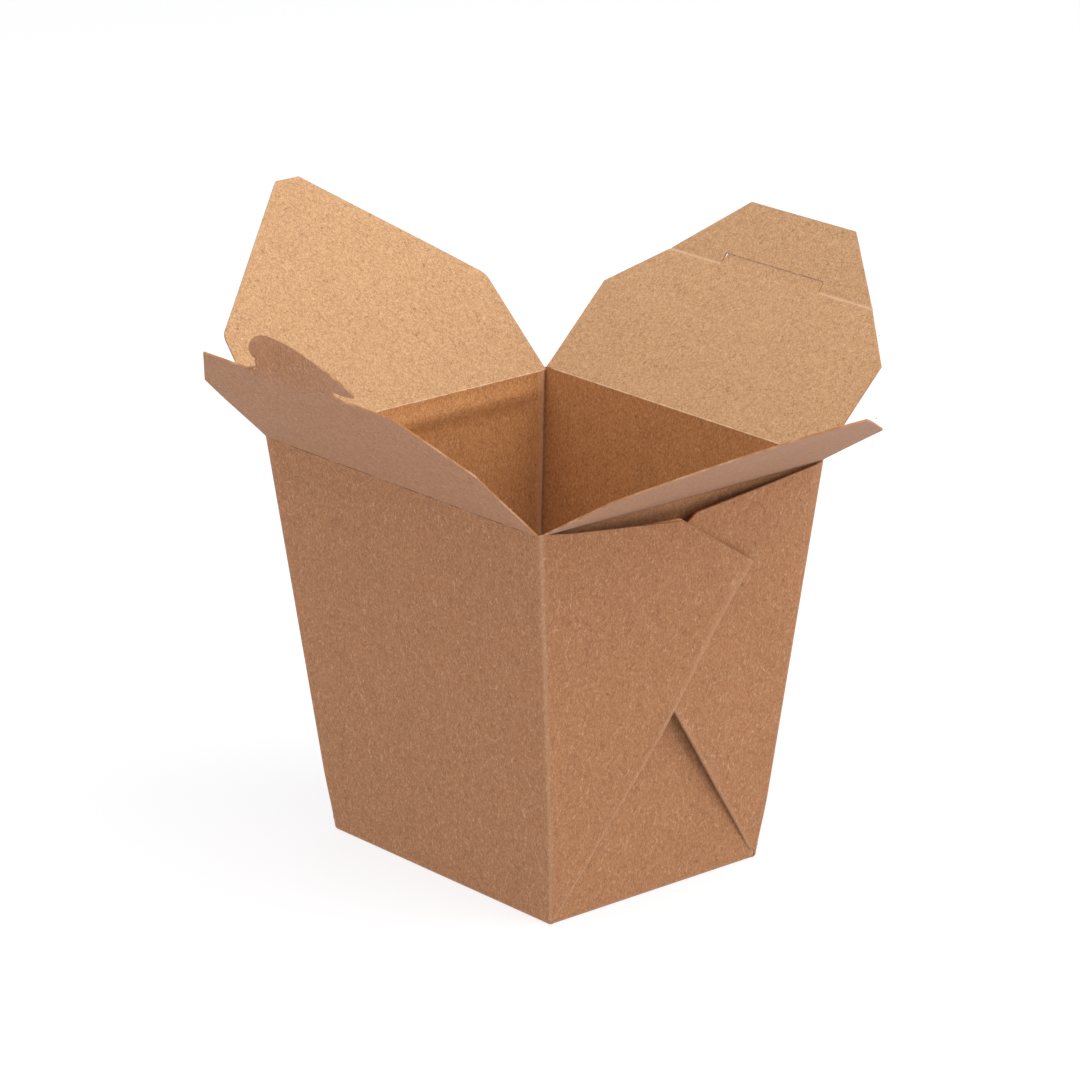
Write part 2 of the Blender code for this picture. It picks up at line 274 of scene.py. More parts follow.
def mix(tree, factor, first, second):
    """Mix two colours; the factor and the colours may be values or sockets."""
    node = add_node(tree, "ShaderNodeMix", data_type="RGBA")
    for socket, value in zip((node.inputs[0], node.inputs[6], node.inputs[7]),
                             (factor, first, second)):
        if isinstance(value, bpy.types.NodeSocket):
            tree.links.new(value, socket)
        else:
            socket.default_value = value
    return node.outputs[2]


def tint(base, amount, greying=0.0):
    """A colour times an amount. Greying lifts the blue and green more than the red, or less if
    it is negative, so the pale fibres are greyer and the dark ones are richer."""
    return [min(1.0, channel * amount * (1 + greying * share))
            for channel, share in zip(base[:3], (0.0, 0.5, 1.0))] + [1.0]


def kraft_liner(name, base, colours, clouding=1.0):
    """Unbleached kraft liner, machine-made and uncoated: matt, with a fine mottle of brown fibres
    about a third of a millimetre wide, scattered dark and pale hairs and rare bark specks.
    The folds are painted paler: in part scuffed, raised fibres, and in part a painted highlight
    where fold edges catch the light."""
    material, tree, shader = new_material(name, base, 0.82, sheen=0.09)
    place = add_node(tree, "ShaderNodeTexCoord").outputs["Object"]
    upright = add_node(tree, "ShaderNodeMapping", {"Vector": place, "Scale": (1.0, 1.0, 0.62)})
    grain_place = upright.outputs["Vector"]
    cloud = add_node(tree, "ShaderNodeTexNoise", {
        "Vector": grain_place, "Scale": 1 / (9 * MM), "Detail": 3.0, "Roughness": 0.6})
    mottle = add_node(tree, "ShaderNodeTexNoise", {
        "Vector": grain_place, "Scale": 1 / (1.5 * MM), "Detail": 5.0, "Roughness": 0.72,
        "Distortion": 2.0})
    grain = add_node(tree, "ShaderNodeTexNoise", {
        "Vector": grain_place, "Scale": 1 / (0.42 * MM), "Detail": 2.0, "Roughness": 0.8})
    soft = add_node(tree, "ShaderNodeMapRange", {
        "Value": cloud.outputs["Fac"], "From Min": 0.3, "From Max": 0.7})
    clouds = 0.05 * clouding
    shade = mix(tree, soft.outputs[0], tint(base, 1 - clouds), tint(base, 1 + clouds))
    for noise, low, high, strength, tone in (
            (mottle, 0.36, 0.64, 0.85, tint(base, 0.66, -0.3)),
            (grain, 0.44, 0.66, 0.60, tint(base, 1.35, 0.4))):
        cover = add_node(tree, "ShaderNodeMapRange", {
            "Value": noise.outputs["Fac"], "From Min": low, "From Max": high, "To Max": strength})
        shade = mix(tree, cover.outputs[0], shade, tone)
    for spacing, width, strength, seed, tone in (
            (1.7 * MM, 0.030, 0.50, 0.31, colours.fibre),
            (1.5 * MM, 0.032, 0.34, 0.77, colours.pale_wear_and_highlight)):
        hairs = fibre_lines(tree, grain_place, spacing, width, strength, seed)
        shade = mix(tree, hairs, shade, tuple(tone))
    speck_cells = add_node(tree, "ShaderNodeTexVoronoi", {
        "Vector": grain_place, "Scale": 1 / (6.5 * MM)})
    speck = add_node(tree, "ShaderNodeMapRange", {
        "Value": speck_cells.outputs["Distance"], "From Min": 0.022, "From Max": 0.034,
        "To Min": 0.5, "To Max": 0.0})
    shade = mix(tree, speck.outputs[0], shade, tuple(colours.fibre))
    # Paler along the folds: scuffed fibres, and a painted highlight on the rounded corners and the
    # webs' folds
    pale_wear_and_highlight = add_node(tree, "ShaderNodeAttribute", attribute_name="wear_and_highlight").outputs["Fac"]
    ragged = add_node(tree, "ShaderNodeMapRange", {
        "Value": mottle.outputs["Fac"], "From Min": 0.35, "From Max": 0.6, "To Min": 0.45})
    pale_wear_and_highlight = add_node(tree, "ShaderNodeMath", {0: pale_wear_and_highlight, 1: ragged.outputs[0]}, operation="MULTIPLY")
    shade = mix(tree, pale_wear_and_highlight.outputs[0], shade, tuple(colours.pale_wear_and_highlight))
    tree.links.new(shade, shader.inputs["Base Color"])
    relief = add_node(tree, "ShaderNodeMath", {0: mottle.outputs["Fac"], 1: grain.outputs["Fac"]},
                      operation="ADD")
    bump = add_node(tree, "ShaderNodeBump", {
        "Height": relief.outputs[0], "Strength": 0.45, "Distance": 0.05 * MM})
    tree.links.new(bump.outputs["Normal"], shader.inputs["Normal"])
    return material


def pulp(name, base, colours):
    """Raw pulp where a steel rule cut the board: loose fibres in thin layers, rougher, warmer and
    patchier than the liner. The crease ridges take it too, and in a dark colour along two creases
    it is painted shade."""
    material, tree, shader = new_material(name, base, 0.95, sheen=0.1)
    place = add_node(tree, "ShaderNodeTexCoord").outputs["Object"]
    tufts = add_node(tree, "ShaderNodeTexNoise", {
        "Vector": place, "Scale": 1 / (0.5 * MM), "Detail": 3.0, "Roughness": 0.8})
    patches = add_node(tree, "ShaderNodeTexNoise", {
        "Vector": place, "Scale": 1 / (4.0 * MM), "Detail": 2.0})
    shade = mix(tree, tufts.outputs["Fac"], tint(base, 0.62), tint(base, 1.3))
    light = add_node(tree, "ShaderNodeMapRange", {
        "Value": patches.outputs["Fac"], "From Min": 0.45, "From Max": 0.7, "To Max": 0.4})
    shade = mix(tree, light.outputs[0], shade, tuple(colours.pale_wear_and_highlight))
    tree.links.new(shade, shader.inputs["Base Color"])
    bump = add_node(tree, "ShaderNodeBump", {
        "Height": tufts.outputs["Fac"], "Strength": 0.7, "Distance": 0.08 * MM})
    tree.links.new(bump.outputs["Normal"], shader.inputs["Normal"])
    return material


def paper_sweep(colours):
    """Smooth white paper sweep, matt, with a barely visible unevenness of its coating. It glows
    as a lit-through sweep does, more towards the camera than onto the box."""
    base = tuple(colours.floor)
    material, tree, shader = new_material("white_paper_sweep", base, 0.9)
    place = add_node(tree, "ShaderNodeTexCoord").outputs["Object"]
    coat = add_node(tree, "ShaderNodeTexNoise", {
        "Vector": place, "Scale": 1 / (40 * MM), "Detail": 3.0})
    shade = mix(tree, coat.outputs["Fac"], tint(base, 0.99), tint(base, 1.01))
    tree.links.new(shade, shader.inputs["Base Color"])
    shader.inputs["Emission Color"].default_value = linear("ffffff")
    seen = add_node(tree, "ShaderNodeLightPath").outputs["Is Camera Ray"]
    glow = add_node(tree, "ShaderNodeMapRange", {"Value": seen, "To Min": 0.62, "To Max": 0.75})
    tree.links.new(glow.outputs[0], shader.inputs["Emission Strength"])
    return material


def board_materials(tray):
    """The three finishes of a sheet of kraft board: outside liner, inside liner and cut edge.
    The tray's inside gets a darker, richer liner colour: painted shade for the dim inside of the
    pail."""
    colours = bpy.context.scene.noodlebox_colours
    if not bpy.data.materials.get("kraft_liner_outside"):
        kraft_liner("kraft_liner_outside", tuple(colours.outside), colours)
        kraft_liner("kraft_liner_inside", tuple(colours.inside), colours, clouding=0.8)
        # The tray's inside liner, darker and richer: painted shade
        kraft_liner("kraft_liner_painted_shade", tuple(colours.shaded_lining), colours, clouding=1.5)
        pulp("kraft_pulp_cut_edge", tuple(colours.cut_edge), colours)
    inside = "kraft_liner_painted_shade" if tray else "kraft_liner_inside"
    return [bpy.data.materials[name] for name in
            ("kraft_liner_outside", inside, "kraft_pulp_cut_edge")]


# ----------------------------------------
# Sheets of board


def smoothstep(value):
    """0 below 0, 1 above 1, and 3v^2 - 2v^3 between."""
    value = np.clip(value, 0.0, 1.0)
    return value * value * (3.0 - 2.0 * value)


def ridge(value, middle, width):
    """A bell, exp(-((v - middle) / width)^2)."""
    return np.exp(-((value - middle) / width) ** 2)


def grid(points, wear_and_highlight=0.0, keep=None):
    """One patch of a sheet: points on rows and columns, how much paler scuffing and painted
    highlight make them, and which quads stay.
    """
    rows, columns = points.shape[:2]
    return {"points": points, "wear_and_highlight": np.broadcast_to(wear_and_highlight, (rows, columns)),
            "keep": np.ones((rows - 1, columns - 1), bool) if keep is None else keep}


def sheet_mesh(name, patches):
    """Join patches into one mesh of quads and weld the points that coincide."""
    points, wear_and_highlight, faces, start = [], [], [], 0
    for patch in patches:
        rows, columns = patch["points"].shape[:2]
        index = start + np.arange(rows * columns).reshape(rows, columns)
        quads = np.stack([index[:-1, :-1], index[:-1, 1:], index[1:, 1:], index[1:, :-1]], axis=-1)
        faces.append(quads[patch["keep"]])
        points.append(patch["points"].reshape(-1, 3))
        wear_and_highlight.append(patch["wear_and_highlight"].ravel())
        start += rows * columns
    mesh = bpy.data.meshes.new(name)
    mesh.from_pydata(np.concatenate(points).tolist(), [], np.concatenate(faces).tolist())
    layer = mesh.attributes.new("wear_and_highlight", "FLOAT", "POINT")
    layer.data.foreach_set("value", np.concatenate(wear_and_highlight).astype(np.float32))
    welded = bmesh.new()
    welded.from_mesh(mesh)
    bmesh.ops.remove_doubles(welded, verts=welded.verts, dist=WELD)
    loose = [vertex for vertex in welded.verts if not vertex.link_faces]
    bmesh.ops.delete(welded, geom=loose, context="VERTS")
    welded.to_mesh(mesh)
    welded.free()
    return mesh


def board_piece(name, patches, body, node, tufts=()):
    """Give a sheet its thickness, its three finishes and its place in the frame.

    The wall goes half its thickness to each side of the sheet, so a fold keeps one thickness.
    """
    sizes = bpy.context.scene.noodlebox_sizes
    mesh = sheet_mesh(name, patches)
    for material in board_materials(body == BODY):
        mesh.materials.append(material)
    helper = bpy.data.objects.new(name + "_sheet", mesh)
    bpy.context.scene.collection.objects.link(helper)
    wall = helper.modifiers.new("board", "SOLIDIFY")
    wall.thickness = sizes.board
    wall.offset = 0.0
    wall.use_even_offset = True
    wall.use_quality_normals = True
    wall.thickness_clamp = 1.0 if body == BODY else 0.0
    wall.use_thickness_angle_clamp = body == BODY
    wall.material_offset = INSIDE
    wall.material_offset_rim = CUT_EDGE
    evaluated = helper.evaluated_get(bpy.context.evaluated_depsgraph_get())
    solid = bpy.data.meshes.new_from_object(evaluated)
    bpy.data.objects.remove(helper)
    bpy.data.meshes.remove(mesh)
    if tufts:
        join_tufts(solid, tufts)
    solid.name = name
    solid.shade_smooth()
    solid.set_sharp_from_angle(angle=SHARP_FOLD)
    piece = bpy.data.objects.new(name, solid)
    bpy.context.scene.collection.objects.link(piece)
    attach(piece, body)
    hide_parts(node)
    return piece


# ----------------------------------------
# The tray


def main_half(z):
    """Distance of a main panel's middle surface from the centre at a height."""
    return MAIN_FOOT + MAIN_FLARE * z


def gusset_half(z):
    """Distance of a gusset panel's middle surface from the centre at a height."""
    return GUSSET_FOOT + GUSSET_FLARE * z


def on_gusset(side, corner, across, up, offset):
    """Points by the gusset panel: across it from a corner, up its slope and out from it.

    x is the panel's distance plus the offset, y runs in from the corner's foot and z is the
    height that the way up the slope reaches.
    """
    z = up / GUSSET_SLANT
    x = side * (gusset_half(z) + offset)
    y = corner * (MAIN_FOOT - across) + 0.0 * offset
    return np.stack(np.broadcast_arrays(x, y, z), axis=-1)


def web_offset(web, across, up):
    """How far a web's outer layer stands off the gusset panel's middle surface.

    Two layers lie on the panel. The over web climbs over the under web, smoothly between its
    own corner and the under web's fold. Away from its corner each web springs up a little, most
    at its top edge and again halfway down its fold.
    """
    spring = bpy.context.scene.noodlebox_sizes.web_spring
    distance = np.maximum(across + MAIN_FLARE * up, 0.0)
    reach = distance / (40 * MM)
    near = 1 - np.exp(-distance / (9 * MM))
    low = 0.6 * spring * reach * ridge(up, 40 * MM, 19 * MM)
    if web is UNDER_WEB:
        return 2 * LAYER + low + 0.85 * spring * near * smoothstep((up - 78 * MM) / (20 * MM))
    under_fold = 2 * MAIN_FOOT - (math.tan(WEB_FOLD_ANGLE) - MAIN_FLARE) * up
    climb = smoothstep(distance / np.maximum(under_fold, 10 * MM))
    top = 0.7 * spring * near * smoothstep((up - 66 * MM) / (30 * MM))
    return 2 * LAYER * (1 + climb) + low + top


def corner_block(t, side, corner, web):
    """The ring's columns round one upright corner, from the main panel to the gusset panel.

    The layers are pressed together at the foot, where they all meet in one fold.
    For each row t: a quarter circle round the corner, the web's outer layer out to its fold, a
    half circle round the fold, the inner layer back, and a half circle into the gusset panel.
    Each web row runs straight from the corner line to the fold line, at one distance from the
    foot of the corner. Past the end of the fold the two layers are cut apart.
    """
    foot = bpy.context.scene.noodlebox_sizes.base_fold
    base_z = foot + bpy.context.scene.noodlebox_sizes.board / 2
    top_z = web["top"] / GUSSET_SLANT
    main_z = base_z + t * (MAIN_RIM - base_z)
    web_z = base_z + t * (top_z - base_z)
    radius = foot + CORNER_GROWTH * t ** 0.7
    bulge = CORNER_BULGE * t
    opening = smoothstep(t / 0.03)
    apart = 0.2 + 0.8 * smoothstep(t / 0.16)

    # Round the corner, from the main panel into the web
    share = np.linspace(0, 1, 9)[None, :]
    z = main_z + (web_z - main_z) * smoothstep(share)
    x = side * (gusset_half(z) + 2 * LAYER * apart + bulge
                - radius * (1 - np.sin(share * math.pi / 2)))
    y = corner * (main_half(z) - radius * (1 - np.cos(share * math.pi / 2)))
    arc = np.stack([x, y, z], axis=-1)
    # Painted highlight down the middle of the rounded corner
    blocks = [(arc, CORNER_HIGHLIGHT * ridge(share, 0.5, 0.3) + 0 * t)]

    edge_across = -MAIN_FLARE * web_z + radius
    edge_up = web_z * GUSSET_SLANT
    fold_t = np.minimum(t / WEB_FOLD_SHARE, 1.0)
    cut_t = np.clip((t - WEB_FOLD_SHARE) / (1 - WEB_FOLD_SHARE), 0.0, 1.0)
    along = WEB_START + fold_t * (WEB_FOLD_LENGTH - WEB_START)
    fold_end = np.array([math.sin(WEB_FOLD_ANGLE), math.cos(WEB_FOLD_ANGLE)]) * WEB_FOLD_LENGTH

    def far_edge(tip):
        """The fold line, then the cut from the fold's end to the tip."""
        across = along * math.sin(WEB_FOLD_ANGLE) + cut_t * (tip[0] - fold_end[0])
        up = along * math.cos(WEB_FOLD_ANGLE) + cut_t * (tip[1] - fold_end[1])
        return edge_across + (across - edge_across) * opening, edge_up + (up - edge_up) * opening

    # The outer layer, out to its fold
    share = np.linspace(0, 1, 27)[None, 1:]
    far_across, far_up = far_edge(web["tip"])
    across = edge_across + (far_across - edge_across) * share
    up = edge_up + (far_up - edge_up) * share
    outer = on_gusset(side, corner, across, up, apart * web_offset(web, across, up)
                      + bulge * (1 - smoothstep(share * 4)))
    # Painted highlight along the outer layer's fold edge
    fold_highlight = 0.18 * ridge((1 - share) * (far_across - edge_across), 0.0, 0.45 * MM)
    blocks.append((outer, fold_highlight * (t <= WEB_FOLD_SHARE) * opening))

    # Half a turn round the fold
    turn = np.linspace(0, math.pi, 8)[None, 1:]
    reach = LAYER / 2 * opening * np.sin(turn)
    inner_across, inner_up = far_edge(web["inner_tip"])
    mixed = (1 - np.cos(turn)) / 2
    across = far_across + (inner_across - far_across) * mixed + reach * math.cos(WEB_FOLD_ANGLE)
    up = far_up + (inner_up - far_up) * mixed - reach * math.sin(WEB_FOLD_ANGLE)
    outer_offset = web_offset(web, far_across, far_up)
    offset = apart * (outer_offset - LAYER * mixed)
    # Painted highlight round the fold
    blocks.append((on_gusset(side, corner, across, up, offset), FOLD_EDGE_HIGHLIGHT + 0 * across))

    # The inner layer, back to the corner
    share = np.linspace(0, 1, 21)[None, 1:]
    inset = radius + 0.25 * MM * smoothstep(t / WEB_OPENING)
    home_across = -MAIN_FLARE * web_z + inset
    home_across = inner_across + (home_across - inner_across) * smoothstep((t - 0.02) / WEB_OPENING)
    home_up = edge_up - 2.4 * MM * smoothstep((t - 0.9) / 0.1)
    home_up = inner_up + (home_up - inner_up) * smoothstep((t - 0.02) / WEB_OPENING)
    across = inner_across + (home_across - inner_across) * share
    up = inner_up + (home_up - inner_up) * share
    inner = on_gusset(side, corner, across, up, apart * (web_offset(web, across, up) - LAYER))
    blocks.append((inner, 0 * across))

    # Half a turn into the gusset panel
    mixed = (1 - np.cos(turn)) / 2
    low_z = base_z + t * (GUSSET_RIM - base_z)
    low_across = -MAIN_FLARE * low_z + inset
    across = home_across + (low_across - home_across) * mixed
    across = across - LAYER / 2 * np.sin(turn) * opening
    up = home_up + (low_z * GUSSET_SLANT - home_up) * mixed
    start_offset = apart * (web_offset(web, home_across, home_up) - LAYER)
    offset = start_offset * (1 - mixed)
    blocks.append((on_gusset(side, corner, across, up, offset), RIM_WEAR + 0 * across))

    points = np.concatenate([block[0] for block in blocks], axis=1)
    wear_and_highlight = np.concatenate([np.broadcast_to(block[1], block[0].shape[:2]) for block in blocks],
                          axis=1)
    first_cut = blocks[0][0].shape[1] + blocks[1][0].shape[1] - 1
    cut = slice(first_cut, first_cut + blocks[2][0].shape[1])
    keep = np.ones((len(t) - 1, points.shape[1] - 1), bool)
    keep[np.ravel(t)[:-1] >= WEB_FOLD_SHARE - 1e-9, cut] = False
    return points, wear_and_highlight, keep


def main_panel(t, start, end, corner):
    """A main panel between two corner columns: straight rows that bow and ripple a little."""
    share = np.linspace(0, 1, 40)[None, 1:-1]
    points = start[:, None, :] + (end - start)[:, None, :] * share[..., None]
    middle = np.sin(math.pi * share)
    bow = MAIN_BOW * middle * np.sin(math.pi * t) ** 0.8
    ripple = MAIN_RIPPLE * np.sin(7.0 * share + 4.0 * t) * middle * np.sin(math.pi * t)
    points[..., 1] += corner * (bow + ripple)
    return points, np.zeros(points.shape[:2])


def gusset_panel(t, start, end, side):
    """A gusset panel between two corner columns, hollowed inwards towards its middle, and again
    just under its rim."""
    hollow = bpy.context.scene.noodlebox_sizes.hollow
    share = np.linspace(0, 1, 34)[None, 1:-1]
    points = start[:, None, :] + (end - start)[:, None, :] * share[..., None]
    depth = hollow * np.sin(math.pi * share) * np.sin(math.pi * t) ** 0.7
    depth = depth + 0.9 * hollow * smoothstep(share * (1 - share) * 12) * ridge(t, 0.955, 0.022)
    points[..., 0] -= side * depth
    return points, np.zeros(points.shape[:2])


def tray_patches():
    """The whole wall as one closed ring carried up the box, and the base inside its foot."""
    sizes = bpy.context.scene.noodlebox_sizes
    t = np.concatenate([np.linspace(0, 0.06, 10), np.linspace(0.06, WEB_FOLD_SHARE, 54)[1:],
                        np.linspace(WEB_FOLD_SHARE, 1, 6)[1:]])[:, None]
    corners = {}
    for side in (1, -1):
        for corner, web in ((-1, OVER_WEB), (1, UNDER_WEB)):
            corners[side, corner] = corner_block(t, side, corner, web)

    # Round the box: each corner's side and end, and whether its columns run backwards
    order = [(-1, -1, True), "main", (1, -1, False), "gusset", (1, 1, True), "main",
             (-1, 1, False), "gusset"]
    points, wear_and_highlight, keep = [], [], []
    for place, item in enumerate(order):
        if isinstance(item, tuple):
            block_points, block_wear_and_highlight, block_keep = corners[item[:2]]
            step = -1 if item[2] else 1
            points.append(block_points[:, ::step])
            wear_and_highlight.append(block_wear_and_highlight[:, ::step])
            keep.append(block_keep[:, ::step])
            continue
        before = order[place - 1]
        after = order[(place + 1) % len(order)]
        start = corners[before[:2]][0][:, 0 if before[2] else -1]
        end = corners[after[:2]][0][:, -1 if after[2] else 0]
        if item == "main":
            panel = main_panel(t, start, end, before[1])
        else:
            panel = gusset_panel(t, start, end, before[0])
        points.append(panel[0])
        wear_and_highlight.append(panel[1])
        keep.append(np.ones((len(t) - 1, panel[0].shape[1] + 1), bool))
    ring = np.concatenate(points + [points[0][:, :1]], axis=1)
    ring_wear_and_highlight = np.concatenate(wear_and_highlight + [wear_and_highlight[0][:, :1]], axis=1)
    patches = [grid(ring, ring_wear_and_highlight, np.concatenate(keep, axis=1))]
    return patches + base_patches(ring[0], sizes)


def base_patches(foot, sizes):
    """The fold round the base, and the base.

    Each foot point Q + (P - Q) cos b turns down and in to the nearest point Q of the base's
    rectangle, as b goes from 0 to a right angle, and sinks by the fold's radius times sin b.
    """
    half = np.array([GUSSET_FOOT + GUSSET_FLARE * foot[0, 2], MAIN_FOOT + MAIN_FLARE * foot[0, 2]])
    half = half - sizes.base_fold
    nearest = np.clip(foot[:, :2], -half, half)
    turn = np.linspace(0, math.pi / 2, 7)[:, None]
    plan = nearest[None] + (foot[None, :, :2] - nearest[None]) * np.cos(turn)[..., None]
    z = foot[None, :, 2] - sizes.base_fold * np.sin(turn)
    fold = np.concatenate([plan, z[..., None]], axis=-1)[::-1]
    wear_and_highlight = np.broadcast_to(0.25 * np.sin(2 * turn[::-1]) ** 2, fold.shape[:2])
    along_x = np.unique(np.round(nearest[np.abs(nearest[:, 1] + half[1]) < 1e-7, 0], 8))
    along_y = np.unique(np.round(nearest[np.abs(nearest[:, 0] - half[0]) < 1e-7, 1], 8))
    x, y = np.meshgrid(along_x, along_y)
    base = np.stack([x, y, np.full_like(x, sizes.board / 2)], axis=-1)
    return [grid(fold, wear_and_highlight), grid(base[::-1])]


# ----------------------------------------
# Flaps


def stand_up(body, lean, local):
    """Place flap points, given as along the crease, out along the flap and off its inside face,
    in the frame. The flap leans up from level by the lean angle."""
    level = Vector(LEVEL[body])
    up = Vector((0, 0, 1))
    outward = level * math.cos(lean) + up * math.sin(lean)
    inner = up * math.cos(lean) - level * math.sin(lean)
    basis = np.array([up.cross(level), outward, inner])
    return np.asarray(local) @ basis + np.array(HINGES[body])


def spread(low, high, step):
    """Evenly spaced stations from low to high, about a step apart."""
    return np.linspace(low, high, max(2, int(round((high - low) / step)) + 1))


def flat(u, v, n=0.0):
    """Points of a flat sheet, from along and out, or x and y, and how far off it they stand."""
    return np.stack(np.broadcast_arrays(u, v, n), axis=-1)


def curl(local, hold=1.0):
    """Roll the lock flap's board up past the start of its curl.

    Each line up the flap follows a circle. Its curvature changes evenly along the tab, and grows
    as the square of the distance towards the end that was rolled up more. Hold scales it.
    """
    u, v, n = local[..., 0], local[..., 1], local[..., 2]
    start = LOCK_DEPTH - TAB_CURL_START
    along = np.maximum(v - start, 0.0)
    rolled = np.maximum(-u - TAB_ROLL_START, 0.0) ** 2
    curvature = hold * (TAB_CURL + TAB_CURL_CHANGE * u + TAB_ROLL * rolled) + 1e-3
    turn = curvature * along
    rolled_v = start + np.sin(turn) * (1 / curvature - n)
    rolled_n = 1 / curvature - np.cos(turn) * (1 / curvature - n)
    past = along > 0
    return np.stack([u, np.where(past, rolled_v, v), np.where(past, rolled_n, n)], axis=-1)


def flap_bow(v, depth, amount):
    """The gentle bow of a flap between its crease and its free edge, off its inside face."""
    return amount * np.sin(math.pi * np.clip(v / depth, 0.0, 1.0)) ** 2


def lock_flap_patches():
    """The lock flap: a trapezium with cut corners and a mushroom tab on its free edge.

    Columns inside the neck run straight from the crease through the tab. The tab's outline
    follows half a superellipse over its head, which sits a little to one side of the neck.
    """
    half_crease = GUSSET_MOUTH + 2 * LAYER - FLAP_END
    rows = np.concatenate([spread(0, LOCK_SIDE, 1.8 * MM),
                           spread(LOCK_SIDE, LOCK_DEPTH - TAB_CURL_START, 1.6 * MM)[1:],
                           spread(LOCK_DEPTH - TAB_CURL_START, LOCK_DEPTH, 0.5 * MM)[1:]])[:, None]
    half = np.interp(rows, [0, LOCK_SIDE, LOCK_DEPTH], [half_crease, half_crease, LOCK_HALF_EDGE])
    share = np.linspace(-1, 1, 45)[None]
    outer_share = np.linspace(0, 1, 21)[None]
    bow = flap_bow(rows, LOCK_DEPTH, LOCK_BOW)
    patches = [grid(curl(flat(TAB_SHIFT + TAB_HALF_NECK * share, rows, bow)))]
    for sign in (-1, 1):
        neck = TAB_HALF_NECK + sign * TAB_SHIFT
        wide = neck + (half - neck) * outer_share
        hold = 1 - smoothstep((wide - neck) / TAB_CURL_FADE)
        points = curl(flat(sign * wide, rows, bow), hold)
        patches.append(grid(points if sign > 0 else points[:, ::-1]))
    climb = np.linspace(0, 1, 9)
    turn = np.linspace(0, math.radians(85), 20)[1:]
    lobe_rows = LOCK_DEPTH + TAB_NOTCH + (TAB_LOBE - TAB_NOTCH) * climb ** 1.6
    head_rows = LOCK_DEPTH + TAB_LOBE + (TAB_HEIGHT - TAB_LOBE) * np.sin(turn) ** (2 / TAB_ARC)
    tab_rows = np.concatenate([[LOCK_DEPTH, LOCK_DEPTH + TAB_NOTCH / 2], lobe_rows, head_rows])
    ends = []
    for sign in (-1, 1):
        neck = TAB_SHIFT + sign * TAB_HALF_NECK
        head = HEAD_SHIFT + sign * TAB_HALF_HEAD
        lobe = neck + (head - neck) * np.sin(climb * math.pi / 2) ** 0.8
        arc = HEAD_SHIFT + (head - HEAD_SHIFT) * np.maximum(np.cos(turn), 0.0) ** (2 / TAB_ARC)
        ends.append(np.concatenate([[neck, neck - sign * 0.1 * MM], lobe, arc])[:, None])
    across = ends[0] + (ends[1] - ends[0]) * (share + 1) / 2
    patches.append(grid(curl(flat(across, tab_rows[:, None]))))
    return patches


